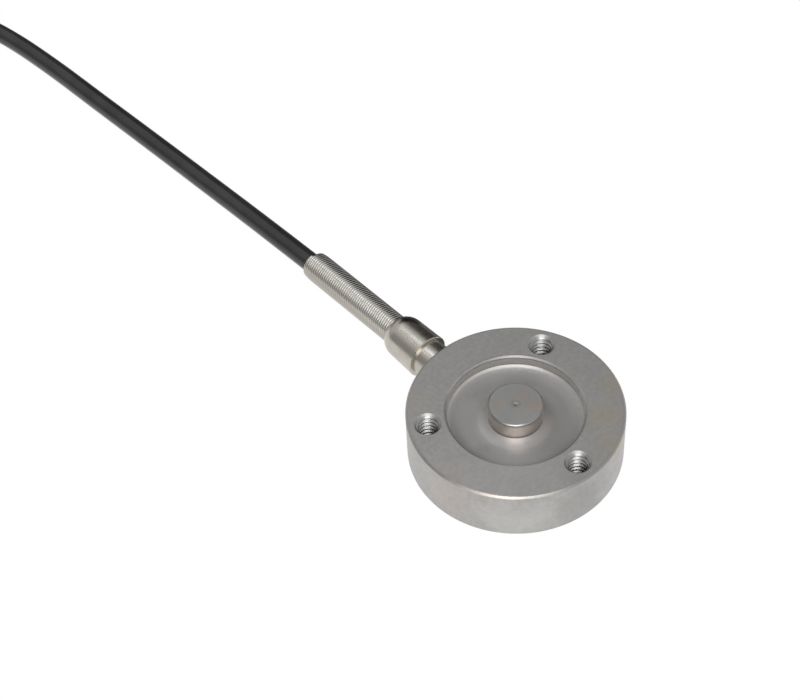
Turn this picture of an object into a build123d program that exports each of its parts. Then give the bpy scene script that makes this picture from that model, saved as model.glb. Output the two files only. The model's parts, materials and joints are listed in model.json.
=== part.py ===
from build123d import *
from math import cos, degrees, radians, sin, sqrt, tan
import os

os.makedirs("parts", exist_ok=True)

# A miniature compression force sensor: a turned steel disc with a raised load button on a thin
# dished diaphragm, a sealed gauge chamber under it, and a cable that leaves the side through a
# neck, a collar and a close-wound relief spring. Millimetres, +Z up, the origin at the centre of
# the flat base, the cable leaving along +Y.

# Sensor body
body_dia = 31.8
rim_height = 8.7
edge_break = 0.25
recess_dia = 20.0
recess_break = 0.25
floor_height = 6.12
wall_sweep = 3.4
button_sweep = 3.6
sweep_angle = 40.0
button_dia = 8.0
button_rise = 1.2
button_break = 0.15
mark_dia = 0.8
mark_depth = 0.15

# Three tapped holes in the rim, with the cable halfway between two of them
hole_count = 3
bolt_circle = 25.8
thread_dia = 3.5
mouth_dia = 4.05
mouth_angle = 90.0
thread_depth = 5.0
drill_dia = 2.75
drill_depth = 6.0

# Gauge chamber and its welded cover
chamber_dia = 19.8
chamber_top = 4.75
chamber_fillet = 0.5
cover_dia = 22.0
cover_thickness = 0.9
cover_recess = 0.3
cover_break = 0.15
weld_gap = 0.02

# Cable neck, pressed into the side wall
exit_height = 3.5
neck_dia = 6.0
seat_depth = 0.3
seat_clearance = 0.15
neck_length = 3.9
spigot_dia = 4.4
port_wall = 1.7
press_gap = 0.01
passage_dia = 2.2
passage_reach = 0.4
tail_dia = 5.2
tail_length = 4.5
tail_break = 0.15

# Cable, its four cores and what holds them in the neck
cable_dia = 3.2
core_dia = 0.8
core_gap = 0.06
jacket_inset = 6.4
ferrule_wall = 0.5
ferrule_length = 5.5
ferrule_gap = 0.02
plug_dia = 3.0
plug_length = 1.6
cast_gap = 0.01

# Collar that holds the relief spring on the neck
collar_dia = 7.1
collar_length = 7.2
collar_taper = 0.17
shoulder_length = 2.1
collar_mouth_dia = 5.1
collar_break = 0.12
collar_gap = 0.01
pocket_gap = 0.13

# Close-wound relief spring, hanging a little from the collar under the cable's weight
spring_dia = 4.74
wire_dia = 0.43
spring_turns = 53
turn_groove = 0.15
closing_turns = 4
closing_step = 0.17
spring_gap = 0.1
droop_angle = 2.0
side_angle = 0.5

# Four strain gauges bonded to the chamber's roof, and the wires between them and the board
gauge_length = 2.0
gauge_width = 1.6
gauge_thickness = 0.1
gauge_wall_gap = 0.9
gauge_gap = 0.8
bridge_wire_dia = 0.16
bridge_wire_spacing = 0.8
bridge_end_spacing = 0.6
bridge_wire_gap = 0.04

# Terminal board, a crescent bonded to the roof on the cable's side
board_wall_gap = 1.2
board_band = 2.5
board_start = 3.0
board_thickness = 0.6
resistor_length = 1.6
resistor_width = 0.8
resistor_height = 0.45
resistor_angle = 40.0
inner_pad_x = 0.9
outer_pad_x = 2.7
pad_y = 7.4
core_turn_y = 8.8
core_bend = 0.7

# The put-away length: turns laid three beside and four on each other, tied near the loose end
coil_center = (10.8, 166.5)
first_turn_radius = 20.8
turn_columns = 3
turn_layers = 4
coil_round = 1.5
entry_length = 13.0
tie_width = 5.0
tie_thickness = 0.6
tie_angle = 14.0
tie_gap = 0.05

# The loose end, laid back along the top outer turn: a shrink sleeve and four flying leads
tail_run = 14.0
sleeve_length = 12.0
sleeve_overlap = 5.0
sleeve_wall = 0.35
sleeve_gap = 0.02
lead_length = 34.0
tip_dia = 0.4
tip_length = 5.0

# Sizes that follow
body_r = body_dia / 2
recess_r = recess_dia / 2
button_r = button_dia / 2
mark_r = mark_dia / 2
button_top = rim_height + button_rise
chamber_r = chamber_dia / 2
cover_r = cover_dia / 2
cover_top = cover_recess + cover_thickness
wall_run = wall_sweep * sin(radians(sweep_angle))
wall_foot = floor_height + wall_sweep * (1 - cos(radians(sweep_angle)))
button_run = button_sweep * sin(radians(sweep_angle))
button_foot = floor_height + button_sweep * (1 - cos(radians(sweep_angle)))
neck_r = neck_dia / 2
neck_seat = body_r - seat_depth
neck_end = neck_seat + neck_length
spigot_r = spigot_dia / 2
spigot_end = chamber_r + port_wall
passage_r = passage_dia / 2
passage_mouth = chamber_r - passage_reach
tail_r = tail_dia / 2
tail_end = neck_end + tail_length
cable_r = cable_dia / 2
core_r = core_dia / 2
core_offset = core_r + core_gap / 2
jacket_start = tail_end - jacket_inset
ferrule_bore = cable_r + ferrule_gap
ferrule_r = ferrule_bore + ferrule_wall
neck_bore = ferrule_r + ferrule_gap
plug_r = plug_dia / 2
plug_start = jacket_start - plug_length
collar_r = collar_dia / 2
collar_start = neck_end + collar_gap
collar_end = neck_end + collar_length
shoulder_r = collar_r - collar_taper
shoulder_y = collar_end - shoulder_length
spring_r = spring_dia / 2
pocket_r = spring_r + pocket_gap
spring_start = tail_end + spring_gap
spring_length = spring_turns * wire_dia
outer_gauge_radius = chamber_r - gauge_wall_gap - gauge_length / 2
inner_gauge_radius = outer_gauge_radius - gauge_length - gauge_gap
board_outer_radius = chamber_r - board_wall_gap
board_inner_radius = board_outer_radius - board_band
board_face = chamber_top - board_thickness
pad_z = board_face - core_r
coil_x, coil_y = coil_center
ring_outer = first_turn_radius + cable_r
ring_inner = first_turn_radius - (turn_columns - 0.5) * cable_dia
ring_height = turn_layers * cable_dia
top_turn_z = ring_height - cable_r
entry_x = coil_x - first_turn_radius
entry_y = coil_y - entry_length
sleeve_bore = cable_r + sleeve_gap
sleeve_r = sleeve_bore + sleeve_wall

# The relief's plane and axis, and the spring's own, with its Y running outwards
exit_plane = Plane.XY.offset(exit_height)
exit_axis = Axis((0, 0, exit_height), (0, 1, 0))
spring_plane = Plane((0, spring_start, exit_height)).rotated((-droop_angle, 0, side_angle))
spring_axis = Axis(spring_plane.origin, spring_plane.y_dir)
winding_axis = Axis((coil_x, coil_y, 0), (0, 0, -1))

# The cable's way from the neck to the coil, chosen by hand: out of the spring, down to the table
# and along it, then straight into the coil's first turn
route = [
    (0, jacket_start, exit_height),
    (0, 26, exit_height),
    (-0.16, 42, 2.87),
    (-0.45, 56, 2.28),
    (-0.68, 66, 1.78),
    (-1.15, 76, cable_r),
    (-1.9, 89, cable_r),
    (-2.8, 103, cable_r),
    (-3.6, 117, cable_r),
    (-4.9, 129, cable_r),
    (-7.3, 138.8, cable_r),
    (entry_x, 146, cable_r),
    (entry_x, entry_y, cable_r),
]


def corner_radii(points):
    """The arc at each corner of a route: 0.45 of its shorter run, over the tangent of half the turn."""
    corners = [Vector(*p) for p in points]
    radii = []
    for before, here, after in zip(corners, corners[1:], corners[2:]):
        shorter = min((here - before).length, (after - here).length)
        turn = (here - before).get_angle(after - here)
        radii.append(0.45 * shorter / tan(radians(turn) / 2))
    return radii


def side_plane(distance):
    """A plane facing the sensor at a distance along +Y, with its origin on the relief's axis."""
    return Plane((0, distance, exit_height), x_dir=(1, 0, 0), z_dir=(0, -1, 0))


def coil_plane(angle):
    """A section of the coil, an angle on from its +X side the way it is wound: X out, Y up."""
    turn = radians(angle)
    outward = (cos(turn), -sin(turn), 0)
    onward = (-sin(turn), -cos(turn), 0)
    return Plane((coil_x, coil_y, 0), x_dir=outward, z_dir=onward)


def wound(length):
    """The angle that a length takes up along the outermost turn."""
    return degrees(length / first_turn_radius)


# Sensor body: one turned piece, rim, diaphragm and load button together
with BuildPart() as sensor_body:
    with BuildSketch(Plane.XZ):
        with BuildLine():
            Polyline(
                (0, chamber_top), (chamber_r, chamber_top), (chamber_r, cover_top),
                (cover_r, cover_top), (cover_r, 0), (body_r, 0), (body_r, rim_height),
                (recess_r, rim_height), (recess_r, wall_foot),
            )
            wall_edge = (recess_r - wall_run, floor_height)
            button_edge = (button_r + button_run, floor_height)
            TangentArc(wall_edge, (recess_r, wall_foot), tangent=(1, 0))
            Line(wall_edge, button_edge)
            TangentArc(button_edge, (button_r, button_foot), tangent=(-1, 0))
            Polyline(
                (button_r, button_foot), (button_r, button_top), (mark_r, button_top),
                (0, button_top - mark_depth), (0, chamber_top),
            )
        make_face()
    revolve(axis=Axis.Z)
    circles = sensor_body.edges().filter_by(GeomType.CIRCLE)
    outer_edges = circles.filter_by(lambda e: abs(e.radius - body_r) < weld_gap)
    recess_edge = circles.filter_by(lambda e: abs(e.radius - recess_r) < weld_gap).sort_by(Axis.Z)[-1]
    top_edge = circles.filter_by(lambda e: abs(e.radius - button_r) < weld_gap).sort_by(Axis.Z)[-1]
    roof_edge = circles.filter_by(lambda e: abs(e.radius - chamber_r) < weld_gap).sort_by(Axis.Z)[-1]
    chamfer(outer_edges, length=edge_break)
    chamfer(recess_edge, length=recess_break)
    chamfer(top_edge, length=button_break)
    fillet(roof_edge, radius=chamber_fillet)
    # Tapped holes, countersunk at the mouth, over a deeper tap drill
    with Locations(Plane.XY.offset(rim_height)):
        with PolarLocations(bolt_circle / 2, hole_count, start_angle=90 - 180 / hole_count):
            CounterSinkHole(thread_dia / 2, mouth_dia / 2, thread_depth, mouth_angle)
            Hole(drill_dia / 2, drill_depth)
    # Side port: a flat seat for the neck, the spigot's bore and the wire passage
    with BuildSketch(side_plane(neck_seat)):
        Circle(neck_r + seat_clearance)
    extrude(amount=neck_seat - body_r, mode=Mode.SUBTRACT)
    with BuildSketch(side_plane(spigot_end)):
        Circle(spigot_r + press_gap)
    extrude(amount=spigot_end - neck_seat, mode=Mode.SUBTRACT)
    with BuildSketch(side_plane(passage_mouth)):
        Circle(passage_r)
    extrude(amount=passage_mouth - spigot_end, mode=Mode.SUBTRACT)
sensor_body.part.label = "sensor_body"
export_step(sensor_body.part, "parts/sensor_body.step")

# Bottom cover: a disc welded a little inside the base, so that the rim carries the load
with BuildPart() as bottom_cover:
    with BuildSketch(Plane.XY.offset(cover_recess)):
        Circle(cover_r - weld_gap)
    extrude(amount=cover_thickness)
    chamfer(bottom_cover.edges().sort_by(Axis.Z)[0], length=cover_break)
bottom_cover.part.label = "bottom_cover"
export_step(bottom_cover.part, "parts/bottom_cover.step")

# Cable neck: the spigot in the body, the neck seen from outside, and the tail inside the collar
with BuildPart() as cable_neck:
    with BuildSketch(exit_plane):
        with BuildLine():
            Polyline(
                (passage_r, spigot_end), (spigot_r, spigot_end), (spigot_r, neck_seat),
                (neck_r, neck_seat), (neck_r, neck_end), (tail_r, neck_end),
                (tail_r, tail_end - tail_break), (tail_r - tail_break, tail_end),
                (neck_bore, tail_end), (neck_bore, jacket_start),
                (plug_r + cast_gap, jacket_start), (plug_r + cast_gap, plug_start),
                (passage_r, plug_start), close=True,
            )
        make_face()
    revolve(axis=exit_axis)
cable_neck.part.label = "cable_neck"
export_step(cable_neck.part, "parts/cable_neck.step")

# Collar: a turned sleeve over the neck's tail, rounded down towards the spring
with BuildPart() as spring_collar:
    with BuildSketch(exit_plane):
        with BuildLine():
            Polyline(
                (collar_mouth_dia / 2, collar_end), (pocket_r, collar_end), (pocket_r, tail_end),
                (tail_r + collar_gap, tail_end), (tail_r + collar_gap, collar_start),
                (collar_r - collar_break, collar_start),
                (collar_r, collar_start + collar_break), (shoulder_r, shoulder_y),
            )
            TangentArc(
                (shoulder_r, shoulder_y), (collar_mouth_dia / 2, collar_end), tangent=(0, 1)
            )
        make_face()
    revolve(axis=exit_axis)
spring_collar.part.label = "spring_collar"
export_step(spring_collar.part, "parts/spring_collar.step")

# Relief spring: close-wound turns, the last few closing in on the cable
with BuildPart() as relief_spring:
    profile = []
    for turn in range(spring_turns):
        closed = max(0, turn + 1 + closing_turns - spring_turns) / closing_turns
        turn_r = spring_r - closing_step * closed**2
        profile.append((turn_r - turn_groove, turn * wire_dia))
        profile.append((turn_r, (turn + 0.5) * wire_dia))
    profile += [
        (turn_r - turn_groove, spring_length),
        (turn_r - wire_dia, spring_length),
        (spring_r - wire_dia, spring_length - closing_turns * wire_dia),
        (spring_r - wire_dia, 0),
    ]
    with BuildSketch(spring_plane):
        with BuildLine():
            Polyline(*profile, close=True)
        make_face()
    revolve(axis=spring_axis)
relief_spring.part.label = "relief_spring"
export_step(relief_spring.part, "parts/relief_spring.step")

# Crimp ferrule that clamps the cable's jacket inside the neck
with BuildPart() as crimp_ferrule:
    with BuildSketch(side_plane(jacket_start)):
        Circle(ferrule_r)
        Circle(ferrule_bore, mode=Mode.SUBTRACT)
    extrude(amount=-ferrule_length)
crimp_ferrule.part.label = "crimp_ferrule"
export_step(crimp_ferrule.part, "parts/crimp_ferrule.step")

# Seal plug cast round the four cores behind the jacket's end
with BuildPart() as seal_plug:
    with BuildSketch(side_plane(plug_start)):
        Circle(plug_r)
        with GridLocations(2 * core_offset, 2 * core_offset, 2, 2):
            Circle(core_r + cast_gap, mode=Mode.SUBTRACT)
    extrude(amount=-plug_length)
seal_plug.part.label = "seal_plug"
export_step(seal_plug.part, "parts/seal_plug.step")

# Cores, from the jacket's end to their pads: the upper two on the inner pads, the lower two outside
core_places = {"red": (-1, 1), "black": (1, 1), "green": (-1, -1), "white": (1, -1)}
for color, (side, row) in core_places.items():
    start_z = exit_height + row * core_offset
    pad_x = side * (inner_pad_x if row > 0 else outer_pad_x)
    turn_z = pad_z if row > 0 else start_z
    with BuildPart() as core:
        with BuildLine() as core_line:
            FilletPolyline(
                (side * core_offset, jacket_start, start_z),
                (side * core_offset, passage_mouth, start_z),
                (pad_x, core_turn_y, turn_z),
                (pad_x, pad_y, pad_z),
                radius=core_bend,
            )
        with BuildSketch(Plane(core_line.line @ 0, z_dir=core_line.line % 0)):
            Circle(core_r)
        sweep()
    core.part.label = "core_" + color
    export_step(core.part, "parts/core_" + color + ".step")

# Terminal board: a crescent round the chamber's wall, bonded to the roof
with BuildPart() as terminal_board:
    with BuildSketch(Plane.XY.offset(board_face)):
        Circle(board_outer_radius)
        Circle(board_inner_radius, mode=Mode.SUBTRACT)
        with Locations((0, board_start)):
            Rectangle(
                2 * board_outer_radius, board_outer_radius, mode=Mode.INTERSECT,
                align=(Align.CENTER, Align.MIN),
            )
    extrude(amount=board_thickness)
terminal_board.part.label = "terminal_board"
export_step(terminal_board.part, "parts/terminal_board.step")

# Trim resistors, one on each half of the board
board_middle = (board_inner_radius + board_outer_radius) / 2
for number, place in enumerate((resistor_angle, 180 - resistor_angle), start=1):
    with BuildPart() as trim_resistor:
        with BuildSketch(Plane.XY.offset(board_face - resistor_height)):
            with PolarLocations(board_middle, 1, start_angle=place):
                Rectangle(resistor_width, resistor_length)
        extrude(amount=resistor_height)
    trim_resistor.part.label = "trim_resistor_" + str(number)
    export_step(trim_resistor.part, "parts/trim_resistor_" + str(number) + ".step")

# Strain gauges in a row across the roof, two near the button's foot and two near the wall
gauge_places = (-outer_gauge_radius, -inner_gauge_radius, inner_gauge_radius, outer_gauge_radius)
for number, gauge_x in enumerate(gauge_places, start=1):
    with BuildPart() as strain_gauge:
        with BuildSketch(Plane.XY.offset(chamber_top - gauge_thickness)):
            with Locations((gauge_x, 0)):
                Rectangle(gauge_length, gauge_width)
        extrude(amount=gauge_thickness)
    strain_gauge.part.label = "strain_gauge_" + str(number)
    export_step(strain_gauge.part, "parts/strain_gauge_" + str(number) + ".step")

# Bridge wires: two from each gauge, side by side on the roof, to the ends of the board
with BuildPart() as bridge_wires:
    wire_z = chamber_top - bridge_wire_dia / 2
    board_end_inner = sqrt(board_inner_radius**2 - board_start**2)
    board_end_outer = sqrt(board_outer_radius**2 - board_start**2)
    board_end_x = (board_end_inner + board_end_outer) / 2
    for side in (-1, 1):
        starts = [
            gauge_radius + step * bridge_wire_spacing
            for gauge_radius in (inner_gauge_radius, outer_gauge_radius)
            for step in (-0.5, 0.5)
        ]
        for number, start_x in enumerate(starts):
            end_x = board_end_x + (number - 1.5) * bridge_end_spacing
            with BuildLine() as wire_line:
                Line(
                    (side * start_x, gauge_width / 2 + bridge_wire_gap, wire_z),
                    (side * end_x, board_start - bridge_wire_gap, wire_z),
                )
            with BuildSketch(Plane(wire_line.line @ 0, z_dir=wire_line.line % 0)):
                Circle(bridge_wire_dia / 2)
            sweep()
bridge_wires.part.label = "bridge_wires"
export_step(bridge_wires.part, "parts/bridge_wires.step")

# Cable from the neck to the coil
with BuildPart() as cable_run:
    with BuildLine() as run_line:
        FilletPolyline(*route, radius=corner_radii(route))
    with BuildSketch(Plane(run_line.line @ 0, z_dir=run_line.line % 0)):
        Circle(cable_r)
    sweep()
cable_run.part.label = "cable_run"
export_step(cable_run.part, "parts/cable_run.step")

# Coil: the wound turns as one ring, with the straight length that leads into them. The last turn
# stops halfway round, and a slot for the tie's band keeps it off the table
with BuildPart() as cable_coil:
    with BuildSketch(coil_plane(0)):
        with Locations(((ring_inner + ring_outer) / 2, ring_height / 2)):
            RectangleRounded(ring_outer - ring_inner, ring_height, coil_round)
    revolve(axis=winding_axis)
    with BuildSketch(Plane((entry_x, coil_y, cable_r), x_dir=(1, 0, 0), z_dir=(0, -1, 0))):
        Circle(cable_r)
    extrude(amount=entry_length)
    with BuildSketch(coil_plane(0)):
        with Locations((first_turn_radius - sleeve_r - sleeve_gap, top_turn_z - sleeve_r - sleeve_gap)):
            Rectangle(cable_dia * 2, cable_dia * 2, align=(Align.MIN, Align.MIN))
    revolve(axis=winding_axis, revolution_arc=180, mode=Mode.SUBTRACT)
    band_inner = sqrt(ring_inner**2 - (tie_width / 2) ** 2) - tie_gap
    band_outer = ring_outer + tie_gap
    with BuildSketch(coil_plane(tie_angle)):
        with Locations(((band_inner + band_outer) / 2, 0)):
            Rectangle(
                band_outer - band_inner + 2 * tie_thickness + 2 * tie_gap, tie_thickness + tie_gap,
                align=(Align.CENTER, Align.MIN),
            )
    extrude(amount=tie_width / 2 + tie_gap, both=True, mode=Mode.SUBTRACT)
cable_coil.part.label = "cable_coil"
export_step(cable_coil.part, "parts/cable_coil.step")

# Tie: a band round the bundle of turns and the loose end
with BuildPart() as coil_tie:
    with BuildSketch(coil_plane(tie_angle)):
        with Locations(((band_inner + band_outer) / 2, 0)):
            Rectangle(
                band_outer - band_inner + 2 * tie_thickness, ring_height + tie_gap + tie_thickness,
                align=(Align.CENTER, Align.MIN),
            )
            with Locations((0, tie_thickness)):
                Rectangle(
                    band_outer - band_inner, ring_height + tie_gap - tie_thickness,
                    align=(Align.CENTER, Align.MIN), mode=Mode.SUBTRACT,
                )
    extrude(amount=tie_width / 2, both=True)
    long_edges = coil_tie.edges().filter_by(Axis(coil_plane(tie_angle).origin, coil_plane(tie_angle).z_dir))
    fillet(long_edges, radius=tie_thickness / 2)
coil_tie.part.label = "coil_tie"
export_step(coil_tie.part, "parts/coil_tie.step")

# Cable past the coil's last turn
with BuildPart() as cable_tail:
    with BuildSketch(coil_plane(0)):
        with Locations((first_turn_radius, top_turn_z)):
            Circle(cable_r)
    revolve(axis=winding_axis, revolution_arc=wound(tail_run))
cable_tail.part.label = "cable_tail"
export_step(cable_tail.part, "parts/cable_tail.step")

# Shrink sleeve over the jacket's end
with BuildPart() as lead_sleeve:
    with BuildSketch(coil_plane(wound(tail_run - sleeve_overlap))):
        with Locations((first_turn_radius, top_turn_z)):
            Circle(sleeve_r)
            Circle(sleeve_bore, mode=Mode.SUBTRACT)
    revolve(axis=winding_axis, revolution_arc=wound(sleeve_length))
lead_sleeve.part.label = "lead_sleeve"
export_step(lead_sleeve.part, "parts/lead_sleeve.step")

# Flying leads, in the same order round the cable's middle as inside the neck
for color, (side, row) in core_places.items():
    with BuildPart() as lead:
        with BuildSketch(coil_plane(wound(tail_run))):
            with Locations((first_turn_radius + side * core_offset, top_turn_z + row * core_offset)):
                Circle(core_r)
        revolve(axis=winding_axis, revolution_arc=wound(lead_length))
    lead.part.label = "lead_" + color
    export_step(lead.part, "parts/lead_" + color + ".step")

# Bare, tinned ends of the leads
with BuildPart() as lead_tips:
    with BuildSketch(coil_plane(wound(tail_run + lead_length))):
        with Locations((first_turn_radius, top_turn_z)):
            with GridLocations(2 * core_offset, 2 * core_offset, 2, 2):
                Circle(tip_dia / 2)
    revolve(axis=winding_axis, revolution_arc=wound(tip_length))
lead_tips.part.label = "lead_tips"
export_step(lead_tips.part, "parts/lead_tips.step")

run_length = sum(edge.length for edge in run_line.edges())
turns_length = radians(360) * turn_layers * sum(
    first_turn_radius - column * cable_dia for column in range(turn_columns)
) - radians(180) * first_turn_radius
print("corner radii of the cable's route:", [round(r, 1) for r in corner_radii(route)])
print("cable from the neck to the coil:", round(run_length, 1))
print("its volume over section times length:",
      round(cable_run.part.volume / (radians(180) * cable_r**2 * run_length), 5))
print("wound length:", round(turns_length, 1))
print("cable and leads in all:",
      round(run_length + entry_length + turns_length + tail_run + lead_length + tip_length, 1))
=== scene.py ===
# %% [markdown]
# # A compression force sensor
# This notebook dresses the CAD model of a small turned steel force sensor. The CAD gives every
# piece its size and place. Here the pieces get their finishes, the cable its true length as one
# smooth curve, the relief spring its real helix of wire, and the tapped holes their threads.

# %% Load the frame
import json
import math

import bpy
import numpy as np
from mathutils import Euler, Matrix, Vector

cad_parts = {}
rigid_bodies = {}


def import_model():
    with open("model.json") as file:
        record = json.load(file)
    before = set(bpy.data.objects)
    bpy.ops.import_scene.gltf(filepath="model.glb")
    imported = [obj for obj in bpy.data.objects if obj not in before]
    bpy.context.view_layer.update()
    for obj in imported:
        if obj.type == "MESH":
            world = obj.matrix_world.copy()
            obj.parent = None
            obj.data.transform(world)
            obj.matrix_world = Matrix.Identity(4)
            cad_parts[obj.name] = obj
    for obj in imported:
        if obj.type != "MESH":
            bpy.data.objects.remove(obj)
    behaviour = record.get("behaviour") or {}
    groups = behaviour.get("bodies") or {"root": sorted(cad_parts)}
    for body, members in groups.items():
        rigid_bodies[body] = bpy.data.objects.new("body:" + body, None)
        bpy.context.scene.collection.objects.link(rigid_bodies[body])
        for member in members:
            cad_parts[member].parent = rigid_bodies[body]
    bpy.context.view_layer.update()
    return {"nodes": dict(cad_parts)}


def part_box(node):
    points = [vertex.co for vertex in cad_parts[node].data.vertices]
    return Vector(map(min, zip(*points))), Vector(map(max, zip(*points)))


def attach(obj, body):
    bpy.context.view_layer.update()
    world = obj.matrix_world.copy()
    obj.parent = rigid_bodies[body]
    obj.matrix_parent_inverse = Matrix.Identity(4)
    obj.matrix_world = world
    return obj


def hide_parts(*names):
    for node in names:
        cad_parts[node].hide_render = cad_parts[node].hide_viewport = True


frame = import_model()
MM = 0.001

# %% [markdown]
# ## Shared sizes
# Most sizes are read from the frame: a node's box gives its diameters and ends. Only what a box
# can't show, such as the rim's height below the button, is written here, once. A size that one
# piece alone needs is written beside that piece.

# %% Shared sizes
body_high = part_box("sensor_body")[1]
body_r = body_high[0]
button_top = body_high[2]
rim_height = 8.7 * MM
bolt_circle_r = 12.9 * MM
tail_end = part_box("cable_neck")[1][1]
exit_height = 3.5 * MM
cable_d = 3.2 * MM
cable_r = cable_d / 2
print("body radius and height in mm:", round(body_r / MM, 2), round(button_top / MM, 2))

# %% [markdown]
# ## Camera
# The camera comes first, because the cable's put-away coil has to lie outside its view. It looks
# down on the sensor from nine widths away, with the cable running up to the left. It could be set
# by eye in the viewport. Two angles, a distance and three small turns say the same in numbers,
# which can be fitted to a photograph one by one.

# %% Camera
view_azimuth = math.radians(-43.07)
view_elevation = math.radians(52.05)
view_distance = 287.4 * MM
view_pan = math.radians(3.418)
view_tilt = math.radians(2.802)
view_roll = math.radians(0.614)

towards_camera = Vector((
    math.sin(view_azimuth) * math.cos(view_elevation),
    -math.cos(view_azimuth) * math.cos(view_elevation),
    math.sin(view_elevation),
))
camera_data = bpy.data.cameras.new("camera")
camera_data.lens = 87.5
camera_data.sensor_width = 36
camera_data.clip_start = 0.01
camera_data.clip_end = 10
camera = bpy.data.objects.new("camera", camera_data)
bpy.context.collection.objects.link(camera)
aim = towards_camera.to_track_quat("Z", "Y").to_matrix()
aim = aim @ Matrix.Rotation(view_pan, 3, "Y") @ Matrix.Rotation(view_tilt, 3, "X")
aim = aim @ Matrix.Rotation(view_roll, 3, "Z")
camera.matrix_world = Matrix.Translation(towards_camera * view_distance) @ aim.to_4x4()
bpy.context.scene.camera = camera
print("camera at, in mm:", [round(side / MM, 1) for side in camera.location])

# %% [markdown]
# ## Cable
# The real cable is one length of four-core cable, put away in a coil. A mesh tube would need
# hundreds of points to turn that often, so it is a single NURBS curve, which stays smooth with few.
# Its control points are the route from the neck to the coil, then the coil's turns, which are
# worked out as arrays.

# %% The cable's route, in millimetres
route_mm = [
    (0, 17.6, 3.5),
    (0, 26, 3.5),
    (-0.16, 42, 2.87),
    (-0.45, 56, 2.28),
    (-0.68, 66, 1.78),
    (-1.15, 76, 1.6),
    (-1.9, 89, 1.6),
    (-2.8, 103, 1.6),
    (-3.6, 117, 1.6),
    (-4.9, 129, 1.6),
    (-7.3, 138.8, 1.6),
    (-10, 146, 1.6),
    (-10, 153.5, 1.6),
]
print("route points:", len(route_mm))

# %% The coil's turns
coil_center = Vector((10.8, 166.5, 0)) * MM
first_turn_r = 20.8 * MM
columns = 3
layers = 4
wound_turns = 11.5
loose_end = 14 * MM
last_turn = wound_turns + loose_end / (2 * math.pi * first_turn_r)


def turn_places():
    """Radius and height of each turn. The first layer is laid from outside in, the next one back
    from inside out, and so on. Each turn is one cable's width from the one before."""
    places = []
    for layer in range(layers):
        order = range(columns) if layer % 2 == 0 else reversed(range(columns))
        height = cable_r + layer * cable_d
        places += [(first_turn_r - column * cable_d, height) for column in order]
    return np.array(places)


print("turns in the coil:", round(last_turn, 2))

# %% The coil's control points
points_per_turn = 16
tie_turn = math.radians(14)
tie_reach = math.radians(20)
tie_fade = 1.6
tie_lift = 0.78 * MM


def coil_points(ease=0.14):
    """Points along the coil, clockwise from its -X side. Each turn keeps its radius and height,
    and eases to the next one's over a short last part of itself, by a smooth step. Next to the tie
    the turns are pressed together from below, most at the bottom, so its band fits under them."""
    places = turn_places()
    steps = np.arange(1, int(last_turn * points_per_turn) + 1) / points_per_turn
    steps = np.append(steps, last_turn)
    turn = np.minimum(steps.astype(int), len(places) - 1)
    after = np.minimum(turn + 1, len(places) - 1)
    share = np.clip((steps - turn - 1 + ease) / ease, 0, 1)
    share = share * share * (3 - 2 * share)
    radius, height = (places[turn] + (places[after] - places[turn]) * share[:, None]).T
    angle = math.pi - 2 * math.pi * steps
    from_tie = np.abs((angle + tie_turn + math.pi) % (2 * math.pi) - math.pi)
    pressed = np.clip(tie_fade - from_tie / tie_reach, 0, 1)
    top = cable_r + (layers - 1) * cable_d
    height = height + tie_lift * pressed * (top - height) / (top - cable_r)
    x = coil_center.x + radius * np.cos(angle)
    y = coil_center.y + radius * np.sin(angle)
    return np.stack([x, y, height], axis=1)


print("points along the coil:", len(coil_points()))


# %% A curve through control points
def nurbs_cord(name, points, radius):
    """One open NURBS spline over a list of control points, bevelled to a round cord. Its radius
    is set on its points, under a bevel of 1, because a curve's box is widened by that radius."""
    data = bpy.data.curves.new(name, "CURVE")
    data.dimensions = "3D"
    data.resolution_u = 8
    data.bevel_depth = 1
    data.bevel_resolution = 5
    data.use_fill_caps = True
    spline = data.splines.new("NURBS")
    spline.points.add(len(points) - 1)
    spline.points.foreach_set("co", np.c_[points, np.ones(len(points))].ravel())
    spline.points.foreach_set("radius", np.full(len(points), radius))
    spline.order_u = 3
    spline.use_endpoint_u = True
    cord = bpy.data.objects.new(name, data)
    bpy.context.collection.objects.link(cord)
    return cord


# %% The cable
on_the_cable = ["coil_tie", "lead_sleeve", "lead_tips"]
on_the_cable += ["lead_" + color_name for color_name in ("red", "black", "green", "white")]
cable_points = np.vstack([np.array(route_mm) * MM, coil_points()])
cable = nurbs_cord("cable", cable_points, cable_r)
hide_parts("cable_run", "cable_coil", "cable_tail")
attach(cable, "root")
print("cable control points:", len(cable_points))

# %% [markdown]
# ## Relief spring
# The strain relief is a close-wound spring of hard stainless wire. The CAD makes it as one grooved
# sleeve, which has the right outline but no end to its wire. A Screw modifier could wind it, but
# not close its last turns. A helix is a function of two parameters, the way along the wire and the
# way round it, so it is worked out as one grid.

# %% A grid made into a mesh
def grid_mesh(name, points, ring=False):
    """A mesh from an array of points: rows along a piece, columns closed round it. Each face joins
    a point to the next in its row and in the row after. A ring's last row joins its first one, and
    any other piece gets a cap on both its ends."""
    rows, columns = points.shape[:2]
    index = np.arange(rows * columns).reshape(rows, columns)
    beside = np.roll(index, -1, axis=1)
    corners = [index, beside, np.roll(beside, -1, axis=0), np.roll(index, -1, axis=0)]
    quads = np.stack(corners, axis=-1)
    quads = quads[: rows if ring else rows - 1].reshape(-1, 4)
    caps = [] if ring else [index[0, ::-1].tolist(), index[-1].tolist()]
    data = bpy.data.meshes.new(name)
    data.from_pydata(points.reshape(-1, 3).tolist(), [], quads.tolist() + caps)
    smooth = np.arange(len(data.polygons)) < len(quads)
    data.polygons.foreach_set("use_smooth", smooth)
    piece = bpy.data.objects.new(name, data)
    bpy.context.collection.objects.link(piece)
    return piece


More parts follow.
